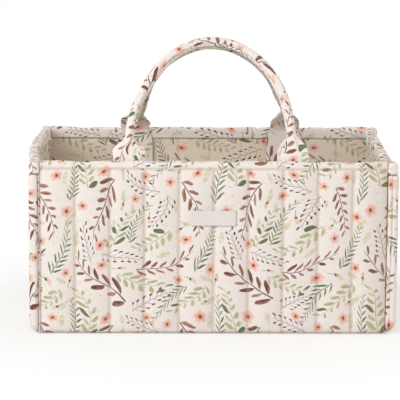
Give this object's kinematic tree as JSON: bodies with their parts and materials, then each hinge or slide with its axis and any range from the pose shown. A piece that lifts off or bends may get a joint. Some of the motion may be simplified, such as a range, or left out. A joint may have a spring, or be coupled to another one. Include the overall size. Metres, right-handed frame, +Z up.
{
  "type": "quilted storage caddy",
  "caption": "Open-topped quilted fabric caddy with padded walls, a stiff base, two soft rope-core carry handles, a blank label and lift-out dividers.",
  "frame": {"origin": "middle of the underside, on the surface the bag stands on", "axes": "+X to the right seen from the front, +Y from the labelled front to the back, +Z up"},
  "size_m": [0.38, 0.25, 0.2977],
  "materials": {
    "printed_cotton": "quilted plain-weave cotton, small floral print on pinkish ivory, matt",
    "lining_cotton": "plain-weave cotton, the same floral print, unquilted, matt",
    "foam": "open-cell foam sheet",
    "base_board": "stiff insert board",
    "cotton_rope": "soft twisted filler rope",
    "label_weave": "fine satin-woven label, blank",
    "loop_tape": "brushed loop side of hook-and-loop tape",
    "hook_tape": "hook side of hook-and-loop tape"
  },
  "bodies": {
    "bag": {"front_cover": "printed_cotton", "back_cover": "printed_cotton", "left_cover": "printed_cotton", "right_cover": "printed_cotton", "base_cover": "printed_cotton", "left_binding": "printed_cotton", "right_binding": "printed_cotton", "left_hem": "printed_cotton", "right_hem": "printed_cotton", "front_left_tab": "printed_cotton", "front_right_tab": "printed_cotton", "back_left_tab": "printed_cotton", "back_right_tab": "printed_cotton", "front_lining": "lining_cotton", "back_lining": "lining_cotton", "left_lining": "lining_cotton", "right_lining": "lining_cotton", "base_lining": "lining_cotton", "front_foam": "foam", "back_foam": "foam", "left_foam": "foam", "right_foam": "foam", "base_foam": "foam", "base_board": "base_board", "label": "label_weave", "front_loop_tape": "loop_tape", "back_loop_tape": "loop_tape", "left_loop_tape": "loop_tape"},
    "front_handle": {"front_handle_sleeve": "printed_cotton", "front_handle_rope": "cotton_rope"},
    "back_handle": {"back_handle_sleeve": "printed_cotton", "back_handle_rope": "cotton_rope"},
    "cross_divider": {"cross_divider_cover": "printed_cotton", "cross_divider_foam": "foam", "cross_divider_front_hook_tape": "hook_tape", "cross_divider_back_hook_tape": "hook_tape", "cross_divider_loop_tape": "loop_tape"},
    "long_divider": {"long_divider_cover": "printed_cotton", "long_divider_foam": "foam", "long_divider_left_hook_tape": "hook_tape", "long_divider_right_hook_tape": "hook_tape"}
  },
  "joints": [
    {"name": "front_handle_swing", "type": "hinge", "parent": "bag", "child": "front_handle", "pos_m": [0, -0.1128, 0.1825], "axis": [1, 0, 0], "range_deg": [-9.5, 128]},
    {"name": "back_handle_swing", "type": "hinge", "parent": "bag", "child": "back_handle", "pos_m": [0, 0.1128, 0.1825], "axis": [-1, 0, 0], "range_deg": [-6.5, 131]},
    {"name": "cross_divider_lift", "type": "slide", "parent": "bag", "child": "cross_divider", "axis": [0, 0, 1], "range_m": [0, 0.095]},
    {"name": "long_divider_lift", "type": "slide", "parent": "bag", "child": "long_divider", "axis": [0, 0, 1], "range_m": [0, 0.095]}
  ]
}
